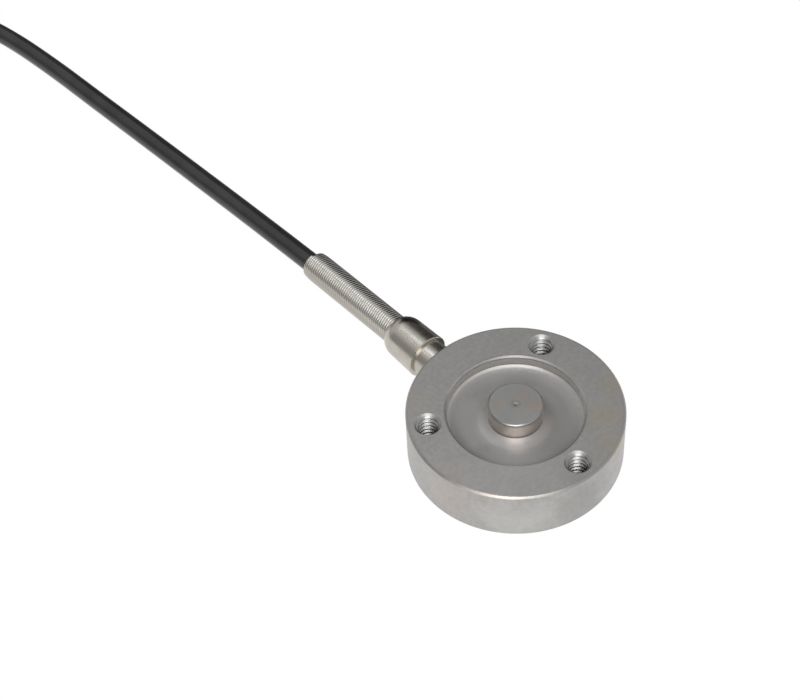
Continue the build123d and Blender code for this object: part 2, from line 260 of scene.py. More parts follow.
# %% The spring's helix
spring_r = 2.37 * MM
wire_d = 0.43 * MM
wire_r = wire_d / 2
spring_turns = 53
closing_turns = 4
closing_step = 0.17 * MM
print("spring's diameter and length in mm:", 2 * spring_r / MM, spring_turns * wire_d / MM)


def spring_points(steps_per_turn=44, sides=20, squareness=0.42):
    """Points on the spring's wire. Along the wire the angle grows steadily and each turn moves on
    by one wire; the last turns close in by the square of their share. The wire is rolled a little
    flat: round it, cosine and sine keep their signs and are raised to a power below 1."""
    turn = np.linspace(0, spring_turns - 1, (spring_turns - 1) * steps_per_turn + 1)
    closed = np.clip((turn + 1 + closing_turns - spring_turns) / closing_turns, 0, 1)
    radius = spring_r - wire_r - closing_step * closed**2
    angle = 2 * math.pi * turn[:, None]
    around = np.linspace(0, 2 * math.pi, sides, endpoint=False)[None, :]
    outwards = np.sign(np.cos(around)) * np.abs(np.cos(around)) ** squareness
    sideways = np.sign(np.sin(around)) * np.abs(np.sin(around)) ** squareness
    reach = radius[:, None] + wire_r * outwards
    onward = wire_r + wire_d * turn[:, None] + wire_r * sideways
    return np.stack([reach * np.sin(angle), onward, reach * np.cos(angle)], axis=-1)


# %% The spring
seat_gap = 0.1 * MM
spring_start = tail_end + seat_gap
droop = math.radians(2)
swing = math.radians(0.5)
hang = Matrix.Translation((0, spring_start, exit_height))
hang = hang @ Euler((-droop, 0, swing)).to_matrix().to_4x4()
spring = grid_mesh("spring_wire", spring_points())
spring.data.transform(hang)
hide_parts("relief_spring")
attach(spring, "root")
print("spring faces:", len(spring.data.polygons))

# %% [markdown]
# ## Threads
# The three holes in the rim are tapped. The CAD leaves them plain, at the thread's outer diameter.
# A thread could be cut by a boolean with a swept profile, which is slow and often leaves gaps. It
# is a ridge that winds down the wall, so a sleeve whose inner radius follows the angle and the
# depth shows it. The countersink cuts the first ridge away as a cone does on the real one.

# %% Thread sizes
hole_count = 3
first_hole = math.radians(150)
thread_r = 1.75 * MM
crest_r = 1.37 * MM
mouth_r = 2.025 * MM
thread_pitch = 0.794 * MM
thread_depth = 5 * MM
thread_skin = 0.01 * MM
flank_slope = 1.6
crest_flat = 0.25
print("thread's diameter and pitch in mm:", 2 * thread_r / MM, thread_pitch / MM)


# %% Thread surface
def thread_points(center_x, center_y, around_steps=56, rows_per_turn=14):
    """Points on a threaded sleeve. Going down inside, the radius swings between the crest's and
    the root's as a clipped triangle wave of the depth less the angle's share of a turn, and is
    never less than the countersink's cone. Two last rows bring the sleeve back up outside."""
    top = mouth_r - thread_r
    rows = int((thread_depth - top) / thread_pitch * rows_per_turn)
    depth = np.linspace(top, thread_depth, rows)[:, None]
    angle = np.linspace(0, 2 * math.pi, around_steps, endpoint=False)[None, :]
    phase = (depth / thread_pitch - angle / (2 * math.pi)) % 1
    wave = np.clip(flank_slope * np.abs(2 * phase - 1) - crest_flat, 0, 1)
    root_r = thread_r - thread_skin
    radius = crest_r + (root_r - crest_r) * wave
    radius = np.maximum(radius, np.minimum(mouth_r - depth, root_r))
    depth = np.broadcast_to(depth, radius.shape)
    outside = np.full((1, around_steps), thread_r + thread_skin)
    radius = np.vstack([radius, outside, outside])
    depth = np.vstack([depth, depth[-1:], depth[:1]])
    angle = np.broadcast_to(angle, radius.shape)
    x = center_x + radius * np.cos(angle)
    y = center_y + radius * np.sin(angle)
    return np.stack([x, y, rim_height - depth], axis=-1)


# %% Thread pieces
threads = []
for number in range(hole_count):
    place = first_hole + 2 * math.pi * number / hole_count
    center = bolt_circle_r * math.cos(place), bolt_circle_r * math.sin(place)
    thread = grid_mesh("thread_" + str(number + 1), thread_points(*center), ring=True)
    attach(thread, "root")
    threads.append(thread)
print("threads:", len(threads), "faces each:", len(threads[0].data.polygons))

# %% [markdown]
# ## Building materials from nodes
# A finish is rarely one colour. Each one here mixes two tones by a soft noise, lets the same noise
# vary the gloss, and adds a fine grain by bump. A painted picture could do that too, but it blurs
# close up, where nodes work out every point. A few helpers keep the node trees short to write.

# %% Node helpers
def put(tree, kind, inputs=None, **settings):
    """Adds a node, sets its properties, and gives each input a value or another node's output."""
    node = tree.nodes.new(kind)
    for name, value in settings.items():
        setattr(node, name, value)
    for key, value in (inputs or {}).items():
        if isinstance(value, bpy.types.NodeSocket):
            tree.links.new(value, node.inputs[key])
        else:
            node.inputs[key].default_value = value
    return node


def worked_out(tree, operation, *values):
    """The result of one sum on numbers and other nodes' outputs."""
    return put(tree, "ShaderNodeMath", dict(enumerate(values)), operation=operation).outputs[0]


def softened(tree, value, low, high):
    """A value's smooth step from 0 at low to 1 at high. High may be the smaller of the two."""
    ends = {0: value, 1: low, 2: high}
    return put(tree, "ShaderNodeMapRange", ends, interpolation_type="SMOOTHSTEP").outputs[0]


def between(tree, first, second, mask):
    """A number from first, where the mask is 0, to second, where it is 1."""
    return put(tree, "ShaderNodeMapRange", {0: mask, 3: first, 4: second}).outputs[0]


def noise_at(tree, given, detail, roughness):
    """Soft noise from 0 to 1, at the vector and the scale that a group is given."""
    inputs = {"Vector": given["Vector"], "Scale": given["Scale"]}
    inputs.update({"Detail": detail, "Roughness": roughness})
    return put(tree, "ShaderNodeTexNoise", inputs).outputs[0]


# %% [markdown]
# ## Effects that finishes share
# Patches, grain, turning marks, blots and ring bands appear on several finishes, and the blots and
# ring bands carry stains and painted light alike. Each effect is a node group, which is built once
# and gets other values in each material. The groups give only masks and heights, and the
# materials decide what these do.

# %% A new group
def new_group(name, inputs, outputs):
    """A node group with what it is given and what it gives back. An input without a default is a
    vector, any other is a number, and so is each output."""
    group = bpy.data.node_groups.new(name, "ShaderNodeTree")
    for socket_name, default in inputs.items():
        kind = "NodeSocketVector" if default is None else "NodeSocketFloat"
        socket = group.interface.new_socket(socket_name, in_out="INPUT", socket_type=kind)
        if default is not None:
            socket.default_value = default
    for socket_name in outputs:
        group.interface.new_socket(socket_name, in_out="OUTPUT", socket_type="NodeSocketFloat")
    given = group.nodes.new("NodeGroupInput").outputs
    result = group.nodes.new("NodeGroupOutput").inputs
    print("group", name, "takes", list(inputs), "and gives", outputs)
    return group, given, result


# %% Group: patches of two tones
# The noise is cut round its middle by a smooth step, over a spread to each side.
patches, given, result = new_group(
    "patches", {"Vector": None, "Scale": 900, "Spread": 0.15}, ["Mask"]
)
middle = 0.5
noise = noise_at(patches, given, detail=4, roughness=0.6)
low = worked_out(patches, "SUBTRACT", middle, given["Spread"])
high = worked_out(patches, "ADD", middle, given["Spread"])
patches.links.new(softened(patches, noise, low, high), result["Mask"])

# %% Group: fine grain
# Blasted and moulded surfaces are covered in tiny pits. Two kinds of noise add up to their height.
grain, given, result = new_group("grain", {"Vector": None, "Scale": 5000}, ["Height"])
coarse = noise_at(grain, given, detail=3, roughness=0.7)
pits = put(grain, "ShaderNodeTexVoronoi", {"Vector": given["Vector"], "Scale": given["Scale"]})
height = worked_out(grain, "ADD", coarse, pits.outputs["Distance"])
grain.links.new(height, result["Height"])

# %% Group: turning marks
# A lathe leaves rings round its axis: their height depends on the radius and on the way along the
# axis, and not on the angle. The vector comes in with that axis as its Z.
turning, given, result = new_group(
    "turning", {"Vector": None, "Scale": 8000}, ["Height", "Radius", "Along"]
)
parts = put(turning, "ShaderNodeSeparateXYZ", {0: given["Vector"]}).outputs
flat = put(turning, "ShaderNodeCombineXYZ", {0: parts[0], 1: parts[1]}).outputs[0]
radius = put(turning, "ShaderNodeVectorMath", {0: flat}, operation="LENGTH").outputs["Value"]
profile = put(turning, "ShaderNodeCombineXYZ", {0: radius, 1: parts[2]}).outputs[0]
lines = noise_at(turning, {"Vector": profile, "Scale": given["Scale"]}, detail=2, roughness=0.5)
for name, value in (("Height", lines), ("Radius", radius), ("Along", parts[2])):
    turning.links.new(value, result[name])

# %% Group: a blot, for stains and painted light
# Heat and handling leave patches with broken edges, and the places where light and shade are
# painted get the same. The mask falls with the distance from a place, as a share of its reach, and
# noise pushes that distance in and out.
stain_and_light_blot, given, result = new_group(
    "stain_and_light_blot", {"Vector": None, "Place": None, "Reach": 0.004, "Scale": 600}, ["Mask"]
)
raggedness = 2.2
blot_outside = 2.1
blot_inside = 1.3
ends = {0: given["Vector"], 1: given["Place"]}
away = put(stain_and_light_blot, "ShaderNodeVectorMath", ends, operation="DISTANCE").outputs["Value"]
share = worked_out(stain_and_light_blot, "DIVIDE", away, given["Reach"])
noise = noise_at(stain_and_light_blot, given, detail=5, roughness=0.65)
broken = worked_out(stain_and_light_blot, "MULTIPLY_ADD", noise, raggedness, share)
stain_and_light_blot.links.new(softened(stain_and_light_blot, broken, blot_outside, blot_inside), result["Mask"])

# %% Group: a ring band
# An edge on a round piece is a circle, which is one point in the plane of radius and height. The
# mask is 1 near that point and falls softly to 0, at about a width away. It marks rings of tone and
# rings of painted light alike.
ring_band, given, result = new_group(
    "ring_band",
    {"Radius": 0.0, "Along": 0.0, "Edge radius": 0.01, "Edge along": 0.01, "Width": 0.0003},
    ["Mask"],
)
edge_outside = 1.3
edge_inside = 0.7
across = worked_out(ring_band, "SUBTRACT", given["Radius"], given["Edge radius"])
along = worked_out(ring_band, "SUBTRACT", given["Along"], given["Edge along"])
offset = put(ring_band, "ShaderNodeCombineXYZ", {0: across, 1: along}).outputs[0]
distance = put(ring_band, "ShaderNodeVectorMath", {0: offset}, operation="LENGTH").outputs["Value"]
share = worked_out(ring_band, "DIVIDE", distance, given["Width"])
ring_band.links.new(softened(ring_band, share, edge_outside, edge_inside), result["Mask"])


# %% A surface
class Surface:
    """A material's node tree and the coordinates of the piece that it is on. Its methods place
    the shared effects there, and return their masks and heights."""

    def __init__(self, name):
        self.material = bpy.data.materials.new(name)
        self.material.use_nodes = True
        self.tree = self.material.node_tree
        self.coords = put(self.tree, "ShaderNodeTexCoord").outputs["Object"]

    def group(self, group, **inputs):
        """Places a node group and returns its outputs. A name's underscores stand for spaces."""
        inputs = {name.replace("_", " "): value for name, value in inputs.items()}
        return put(self.tree, "ShaderNodeGroup", inputs, node_tree=group).outputs

    def blot(self, middle_mm, reach_mm, scale):
        """Mask of a stain or of painted light round a place on the piece, both in millimetres."""
        place = {"Place": Vector(middle_mm) * MM, "Reach": reach_mm * MM}
        return self.group(stain_and_light_blot, Vector=self.coords, Scale=scale, **place)["Mask"]

    def ring(self, lathe, radius, along, width):
        """The mask of a circle round the axis, from what the turning group gives."""
        edge = {"Edge_radius": radius, "Edge_along": along, "Width": width}
        return self.group(ring_band, Radius=lathe["Radius"], Along=lathe["Along"], **edge)["Mask"]

    def waves(self, direction, scale, distortion=0.0):
        """Even lines across one direction, such as threads, strands or foil."""
        inputs = {"Vector": self.coords, "Scale": scale, "Distortion": distortion}
        wave = put(self.tree, "ShaderNodeTexWave", inputs, bands_direction=direction)
        return wave.outputs["Fac"]


# %% A finish
class Finish(Surface):
    """A surface with its shader, and with the colour, roughness and relief that it has so far."""

    def __init__(self, name, light, dark, smooth, rough, patch, metallic=0.0):
        super().__init__(name)
        self.shader = self.tree.nodes["Principled BSDF"]
        self.shader.inputs["Metallic"].default_value = metallic
        mask = self.group(patches, Vector=self.coords, Scale=patch)["Mask"]
        self.color = self.mixed((*dark, 1), (*light, 1), mask)
        self.roughness = between(self.tree, rough, smooth, mask)
        self.relief = None
        self.join()

    def join(self):
        """Joins what there is so far to the shader."""
        self.tree.links.new(self.color, self.shader.inputs["Base Color"])
        self.tree.links.new(self.roughness, self.shader.inputs["Roughness"])
        if self.relief:
            self.tree.links.new(self.relief, self.shader.inputs["Normal"])

    def mixed(self, first, second, mask):
        """A colour between two others, by a mask."""
        inputs = {0: mask, 6: first, 7: second}
        return put(self.tree, "ShaderNodeMix", inputs, data_type="RGBA").outputs[2]

    def stained_and_shaded(self, color, mask, strength):
        """Lays a colour, a stain or painted light, over the one so far, where the mask says."""
        share = worked_out(self.tree, "MULTIPLY", mask, strength)
        self.color = self.mixed(self.color, (*color, 1), share)
        self.join()

    def polished(self, mask, smooth):
        """Brings the roughness to another value, where the mask says."""
        inputs = {0: mask, 2: self.roughness, 3: smooth}
        self.roughness = put(self.tree, "ShaderNodeMix", inputs, data_type="FLOAT").outputs[0]
        self.join()

    def bumped(self, height, depth, strength=1.0):
        """Adds a relief of a real depth, in metres, over the one so far."""
        inputs = {"Height": height, "Distance": depth, "Strength": strength}
        bump = put(self.tree, "ShaderNodeBump", inputs)
        if self.relief:
            self.tree.links.new(self.relief, bump.inputs["Normal"])
        self.relief = bump.outputs["Normal"]
        self.join()

    def grained(self, scale, depth):
        """Adds a fine grain."""
        self.bumped(self.group(grain, Vector=self.coords, Scale=scale)["Height"], depth)


# %% Dressing pieces
def dress(finish, *pieces):
    """Gives a finish to pieces. A CAD node is given by its name, and a new piece by itself."""
    for piece in pieces:
        if isinstance(piece, str):
            piece = frame["nodes"][piece]
        piece.data.materials.clear()
        piece.data.materials.append(finish.material)
        print(finish.material.name, "is on", piece.name)


# %% [markdown]
# ## Body steel
# The body is one piece of stainless steel, turned and then blasted to a dull grey with a faint
# mottle. A metal's colour is its reflection, so the grey here is the steel's own tint. The body
# could be cut into faces with a material each, but the real one has no such borders. So one finish
# covers all of it, and what differs from place to place is laid over it by soft masks.

# %% Body steel: the blasted surface
body_steel = Finish(
    "body_steel", light=(0.50, 0.49, 0.477), dark=(0.47, 0.46, 0.447),
    smooth=0.43, rough=0.455, patch=350, metallic=1.0,
)
body_steel.grained(scale=4200, depth=9e-6)
mottle = body_steel.group(patches, Vector=body_steel.coords, Scale=1500, Spread=0.2)
body_steel.stained_and_shaded((0.38, 0.36, 0.34), mottle["Mask"], strength=0.5)
print("body steel's nodes so far:", len(body_steel.tree.nodes))

# %% [markdown]
# ## Rings on the body
# The tool and the blasting reach each part of a turned shape differently. The floor of the recess
# is the dullest, the coves and the walls are brighter, and every broken edge has its own tone. The
# colours are also set to how bright each part looks in the light, so the near-white recess wall and
# the pale, warm button side are painted highlights. Each of these parts is a ring round the axis,
# so the ring band group paints and polishes them all. The rings' masks are kept by name, because
# the painted light that follows is laid within them.

# %% Body steel: rings
edge_break = 0.25 * MM
recess_r = 10 * MM
button_r = 4 * MM
rim_edge = body_r - edge_break / 2, rim_height - edge_break / 2
recess_edge = recess_r + edge_break / 2, rim_height - edge_break / 2
ring_strength = 0.85
# For each ring: its radius and height, its width, its roughness and its colour.
ring_tones_and_highlights = {
    "recess floor": (7.2 * MM, 6.3 * MM, 2.3 * MM, 0.62, (0.37, 0.365, 0.36)),
    "inner cove": (4.7 * MM, 6.7 * MM, 0.9 * MM, 0.5, (0.42, 0.40, 0.385)),
    "outer cove": (9.9 * MM, 6.85 * MM, 0.32 * MM, 0.45, (0.44, 0.43, 0.42)),
    "button top": (1.5 * MM, button_top, 2.2 * MM, 0.44, (0.40, 0.395, 0.38)),
    # The button side's and the recess wall's pale colours are painted highlights.
    "button side": (button_r, 8.4 * MM, 1.05 * MM, 0.42, (0.78, 0.71, 0.65)),
    "recess wall": (recess_r, 7.7 * MM, 0.65 * MM, 0.42, (0.98, 0.96, 0.93)),
    "rim edge": (*rim_edge, 0.3 * MM, 0.42, (0.38, 0.375, 0.365)),
    "recess edge": (*recess_edge, 0.3 * MM, 0.44, (0.34, 0.335, 0.325)),
    "button edge": (button_r, button_top, 0.22 * MM, 0.3, (0.27, 0.265, 0.255)),
    "centre mark": (0.0, button_top, 0.8 * MM, 0.5, (0.34, 0.33, 0.31)),
}
lathe = body_steel.group(turning, Vector=body_steel.coords, Scale=6000)
body_masks = {}
for part, (radius, height, width, smooth, color) in ring_tones_and_highlights.items():
    mask = body_steel.ring(lathe, radius, height, width)
    body_steel.stained_and_shaded(color, mask, ring_strength)
    body_steel.polished(mask, smooth)
    body_masks[part] = mask
print("rings on the body:", len(body_masks))

# %% [markdown]
# ## Painted light on the body
# The light falls unevenly round the body, so some stretches of its edges, coves and floor look
# brighter and others duller. Each such place is painted into the colour as a painted highlight or a
# painted shade: a blot with a broken border, laid within one part of the body only. So a bright
# stretch of an edge ends softly along the edge, and sharply beside it.

# %% Body steel: painted highlights and shade
painted_light_scale = 150
body_height = lathe["Along"]
body_masks["recess"] = softened(body_steel.tree, body_height, low=7.6 * MM, high=7.0 * MM)
body_masks["rim top"] = softened(body_steel.tree, body_height, low=8.5 * MM, high=8.6 * MM)
# For each painted highlight or shade: its part, its middle and reach in millimetres, its colour
# and its strength.
painted_light_places_mm = [
    ("recess", (-5.0, -5.3, 6.1), 8.5, (0.43, 0.42, 0.41), 0.5),
    ("recess", (-5.7, 4.8, 6.3), 7.5, (0.50, 0.49, 0.475), 0.5),
    ("recess", (-3.3, -3.5, 6.6), 1.9, (0.58, 0.52, 0.49), 0.6),
    ("recess", (4.2, 4.5, 6.1), 4.0, (0.31, 0.305, 0.30), 0.5),
    ("rim top", (-9.8, -9.0, 8.7), 14.0, (0.56, 0.55, 0.535), 0.35),
    ("rim edge", (-12.5, -9.8, 8.6), 11.0, (0.80, 0.70, 0.61), 0.6),
    ("button side", (-2.7, -2.9, 8.4), 2.6, (1.0, 0.92, 0.86), 1.0),
    ("button edge", (-2.7, -2.9, 9.9), 5.5, (0.42, 0.41, 0.40), 0.8),
    ("outer cove", (2.0, 9.6, 6.85), 13.0, (0.72, 0.69, 0.66), 0.7),
    ("recess edge", (-2.9, 9.6, 8.6), 6.5, (0.60, 0.585, 0.57), 0.6),
    ("recess edge", (9.7, -2.3, 8.6), 6.5, (0.60, 0.585, 0.57), 0.6),
]
for part, middle_mm, reach_mm, color, strength in painted_light_places_mm:
    painted_light = body_steel.blot(middle_mm, reach_mm, painted_light_scale)
    painted_light = worked_out(body_steel.tree, "MULTIPLY", body_masks[part], painted_light)
    body_steel.stained_and_shaded(color, painted_light, strength)
print("worn places:", len(painted_light_places_mm))

# %% [markdown]
# ## Thread cut
# A tap cuts the holes after the blasting, so their walls are fresh and much smoother. Their colour
# is darker too, as painted shade inside the holes. Their mask is a broad ring on the bolt circle,
# at any height, times a step that starts just below the rim's top.

# %% Body steel: thread cut
cut_width = 2 * MM
on_circle = body_steel.group(
    ring_band, Radius=lathe["Radius"], Along=0.0,
    Edge_radius=bolt_circle_r, Edge_along=0.0, Width=cut_width,
)["Mask"]
below_top = softened(body_steel.tree, body_height, low=8.6 * MM, high=8.3 * MM)
cut_and_shade = worked_out(body_steel.tree, "MULTIPLY", on_circle, below_top)
# Painted shade: the holes' walls are darker.
body_steel.stained_and_shaded((0.37, 0.37, 0.365), cut_and_shade, strength=0.9)
body_steel.polished(cut_and_shade, smooth=0.26)
print("body steel's nodes so far:", len(body_steel.tree.nodes))

# %% [markdown]
# ## Stains and painted light on the side
# Heat and fingers have left faint brown patches on the rim and the side, and small rusty specks on
# the button. The side is also painted a little brighter to the left and darker in front, a painted
# highlight and a painted shade. All of these are blots, broad or fine by their scale.

# %% Body steel: stains, and painted light on the side
stain_and_light_strength = 0.4
# For each stain or painted light: its middle and reach in millimetres, its scale and its colour.
stains_and_painted_light_mm = [
    ((8.5, -9.5, 8.7), 4.0, 600, (0.50, 0.44, 0.34)),
    ((6.0, -13.9, 8.4), 3.2, 600, (0.50, 0.44, 0.33)),
    ((13.6, -6.6, 8.6), 3.2, 600, (0.50, 0.44, 0.33)),
    ((-9.5, 11.0, 8.7), 3.0, 600, (0.48, 0.44, 0.37)),
    ((-15.6, -3.0, 5.5), 4.5, 600, (0.54, 0.46, 0.42)),
    ((-15.4, -4.0, 8.7), 1.5, 1200, (0.54, 0.46, 0.38)),
    # Painted highlight: the side a little brighter to the left.
    ((-10.9, -11.6, 4.0), 7.0, 150, (0.66, 0.645, 0.63)),
    # Painted shade: the side darker in front.
    ((-0.3, -15.9, 4.5), 7.0, 150, (0.29, 0.285, 0.28)),
    ((1.6, 0.3, 9.9), 1.1, 2600, (0.56, 0.36, 0.25)),
    ((1.9, -2.2, 9.9), 1.2, 2600, (0.56, 0.36, 0.25)),
    ((-1.6, 1.3, 9.9), 1.0, 2600, (0.54, 0.38, 0.29)),
]
for middle_mm, reach_mm, scale, color in stains_and_painted_light_mm:
    body_steel.stained_and_shaded(color, body_steel.blot(middle_mm, reach_mm, scale), stain_and_light_strength)
dress(body_steel, "sensor_body", *threads)

# %% [markdown]
# ## Polished relief steel
# The neck and the collar are turned from bar and polished, so they mirror the room, a little
# blurred across by the tool's rings. Their axis is Y: a Mapping node turns the pattern's Z to it,
# and a sum lifts it to the cable's height. The collar's shoulder carries one dark patch, a painted
# reflection of something dark in the room.

# %% Relief steel
relief_steel = Finish(
    "relief_steel", light=(0.54, 0.515, 0.46), dark=(0.50, 0.475, 0.42),
    smooth=0.22, rough=0.30, patch=500, metallic=1.0,
)
quarter_turn = math.pi / 2
on_axis = put(relief_steel.tree, "ShaderNodeMapping", {
    "Vector": relief_steel.coords, "Rotation": (quarter_turn, 0, 0),
}).outputs[0]
centered = put(relief_steel.tree, "ShaderNodeVectorMath", {
    0: on_axis, 1: (0, exit_height, 0),
}, operation="ADD").outputs[0]
relief_lathe = relief_steel.group(turning, Vector=centered, Scale=7000)
relief_steel.bumped(relief_lathe["Height"], depth=6e-6)
# Painted reflection: a dark patch on the collar's shoulder.
shoulder_reflection = relief_steel.blot(middle_mm=(1.5, 25.4, 6.6), reach_mm=2.1, scale=400)
shoulder_reflection = softened(relief_steel.tree, shoulder_reflection, low=0.3, high=0.6)
relief_steel.stained_and_shaded((0.07, 0.08, 0.075), shoulder_reflection, strength=0.8)
dress(relief_steel, "cable_neck", "spring_collar")

# %% [markdown]
# ## Spring wire
# The wire is drawn and then wound, which leaves it bright and nearly smooth. Towards its lower side
# it is painted darker and browner, a painted shade, so a second tone comes in with the height.

# %% Spring steel
spring_steel = Finish(
    "spring_steel", light=(0.66, 0.64, 0.60), dark=(0.60, 0.58, 0.54),
    smooth=0.15, rough=0.19, patch=1200, metallic=1.0,
)
spring_steel.grained(scale=9000, depth=1e-6)
level = put(spring_steel.tree, "ShaderNodeSeparateXYZ", {0: spring_steel.coords}).outputs[2]
# Painted shade: darker and browner towards the wire's lower side.
shade_below = softened(spring_steel.tree, level, low=5.4 * MM, high=3.4 * MM)
spring_steel.stained_and_shaded((0.42, 0.39, 0.345), shade_below, strength=0.9)
dress(spring_steel, spring, "relief_spring")

# %% [markdown]
# ## Cover steel
# The cover closes the gauge chamber from below. It is turned across its face, and a laser weld
# runs round its edge, where the heat has tinted the steel straw and blue.

# %% Cover steel
cover_steel = Finish(
    "cover_steel", light=(0.56, 0.55, 0.53), dark=(0.50, 0.49, 0.47),
    smooth=0.32, rough=0.42, patch=400, metallic=1.0,
)
cover_lathe = cover_steel.group(turning, Vector=cover_steel.coords, Scale=5000)
cover_steel.bumped(cover_lathe["Height"], depth=1.2e-5)
cover_low, cover_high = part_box("bottom_cover")
weld_r = cover_high[0]
weld_height = cover_low[2]
straw = 1.1 * MM, (0.50, 0.40, 0.24)
blue = 0.6 * MM, (0.30, 0.32, 0.42)
for width, color in (straw, blue):
    weld = cover_steel.ring(cover_lathe, weld_r, weld_height, width)
    cover_steel.stained_and_shaded(color, weld, strength=0.5)
dress(cover_steel, "bottom_cover")

# %% [markdown]
# ## Cable, tie and leads
# The jacket is black PVC with a smooth skin that mirrors the lights softly. The tie is a woven
# band: real threads would need far too many faces, so crossed waves raise them by bump. The sleeve
# is shrunk tight, and the four leads have thin glossy skins.

# %% Cable jacket
cable_jacket = Finish(
    "cable_jacket", light=(0.030, 0.0305, 0.032), dark=(0.020, 0.0205, 0.022),
    smooth=0.16, rough=0.22, patch=260,
)
cable_jacket.grained(scale=3500, depth=3e-6)
dress(cable_jacket, cable, "cable_run", "cable_coil", "cable_tail")

# %% Tie band
tie_band = Finish(
    "tie_band", light=(0.045, 0.045, 0.048), dark=(0.02, 0.02, 0.022),
    smooth=0.75, rough=0.9, patch=1500,
)
for direction in ("X", "Y", "Z"):
    woven = tie_band.waves(direction, scale=1100, distortion=0.6)
    tie_band.bumped(woven, depth=4e-5, strength=0.5)
tie_band.shader.inputs["Sheen Weight"].default_value = 0.4
dress(tie_band, "coil_tie")

# %% Shrink sleeve
shrink_sleeve = Finish(
    "shrink_sleeve", light=(0.04, 0.04, 0.042), dark=(0.022, 0.022, 0.024),
    smooth=0.38, rough=0.52, patch=700,
)
shrink_sleeve.grained(scale=900, depth=4e-5)
dress(shrink_sleeve, "lead_sleeve")

# %% Leads and cores
insulation = {
    "red": ((0.62, 0.035, 0.03), (0.5, 0.025, 0.02)),
    "black": ((0.03, 0.03, 0.032), (0.018, 0.018, 0.02)),
    "green": ((0.035, 0.32, 0.09), (0.025, 0.24, 0.065)),
    "white": ((0.82, 0.81, 0.78), (0.72, 0.71, 0.67)),
}
for color_name, (light, dark) in insulation.items():
    skin = Finish("lead_" + color_name, light, dark, smooth=0.22, rough=0.34, patch=900)
    skin.grained(scale=2500, depth=8e-6)
    dress(skin, "lead_" + color_name, "core_" + color_name)

# %% [markdown]
# ## Metals and boards inside
# These pieces are closed in, or show only as tips. Each still gets the finish that it would have
# on the bench: tinned strands, bare wire, a crimped brass ferrule, cast resin, foil and board.

# %% Tinned strands
tinned_copper = Finish(
    "tinned_copper", light=(0.72, 0.71, 0.68), dark=(0.58, 0.57, 0.55),
    smooth=0.28, rough=0.42, patch=2500, metallic=1.0,
)
strands = tinned_copper.waves("DIAGONAL", scale=2600, distortion=1.5)
tinned_copper.bumped(strands, depth=3e-5, strength=0.7)
dress(tinned_copper, "lead_tips")

# %% Bare wires
bare_copper = Finish(
    "bare_copper", light=(0.76, 0.40, 0.24), dark=(0.62, 0.30, 0.17),
    smooth=0.25, rough=0.36, patch=1800, metallic=1.0,
)
bare_copper.grained(scale=6000, depth=3e-6)
dress(bare_copper, "bridge_wires")

# %% Ferrule
crimp_brass = Finish(
    "crimp_brass", light=(0.75, 0.58, 0.30), dark=(0.62, 0.46, 0.22),
    smooth=0.26, rough=0.4, patch=900, metallic=1.0,
)
crimp_brass.grained(scale=3000, depth=1.2e-5)
dress(crimp_brass, "crimp_ferrule")

# %% Seal
seal_compound = Finish(
    "seal_compound", light=(0.07, 0.07, 0.072), dark=(0.035, 0.035, 0.037),
    smooth=0.3, rough=0.55, patch=1200,
)
seal_compound.grained(scale=1500, depth=2e-5)
dress(seal_compound, "seal_plug")

# %% Gauges
gauge_film = Finish(
    "gauge_film", light=(0.70, 0.46, 0.17), dark=(0.60, 0.37, 0.12),
    smooth=0.25, rough=0.38, patch=2200,
)
foil = softened(gauge_film.tree, gauge_film.waves("Y", scale=1600), low=0.55, high=0.65)
gauge_film.stained_and_shaded((0.45, 0.42, 0.38), foil, strength=0.8)
gauge_count = 4
dress(gauge_film, *["strain_gauge_" + str(number + 1) for number in range(gauge_count)])

# %% Board
board = Finish(
    "board", light=(0.06, 0.26, 0.12), dark=(0.035, 0.17, 0.075),
    smooth=0.3, rough=0.42, patch=1400,
)
for direction in ("X", "Y"):
    glass = board.waves(direction, scale=900)
    board.bumped(glass, depth=1e-5, strength=0.4)
dress(board, "terminal_board")

# %% Resistors
resistor = Finish(
    "resistor", light=(0.11, 0.11, 0.12), dark=(0.06, 0.06, 0.065),
    smooth=0.3, rough=0.5, patch=2600,
)
resistor.grained(scale=5000, depth=6e-6)
dress(resistor, "trim_resistor_1", "trim_resistor_2")

# %% [markdown]
# ## Floor
# The photograph's ground is plain white. More light on the sensor would bleach its greys, so the
# floor gets its white from its own colour and from a glow that only the camera, mirrors and glass
# see. Where it is lit it still keeps the sensor's soft shadow. Its far right quarter is a painted
# shadow, dark to mirrors alone, which gives the polished relief its dark stripe.

# %% Floor
bpy.ops.mesh.primitive_plane_add(size=4)
floor = bpy.context.object
floor.name = "floor"
floor_paint = bpy.data.materials.new("floor_paint")
floor_paint.use_nodes = True
floor.data.materials.append(floor_paint)
paint = floor_paint.node_tree
paint.nodes.clear()
rays = put(paint, "ShaderNodeLightPath").outputs
floor_coords = put(paint, "ShaderNodeTexCoord").outputs["Object"]
floor_sides = put(paint, "ShaderNodeSeparateXYZ", {0: floor_coords}).outputs
print("floor is", round(floor.dimensions.x, 1), "m wide")

# %% Floor: the painted shadow that only mirrors see
bright_glow = 1.03
dark_glow = 0.08
# For each way across the floor: where the dark starts and where it is full.
quarter_borders = [(floor_sides[0], 1 * MM, 4 * MM), (floor_sides[1], 5 * MM, 15 * MM)]
# Painted shadow: mirrors see this quarter dark.
quarter = rays["Is Glossy Ray"]
for side, start, end in quarter_borders:
    quarter = worked_out(paint, "MULTIPLY", quarter, softened(paint, side, start, end))
glow_strength = between(paint, bright_glow, dark_glow, quarter)
glow = put(paint, "ShaderNodeEmission", {"Color": (1, 1, 1, 1), "Strength": glow_strength})
print("dark quarter's borders across the floor:", len(quarter_borders))

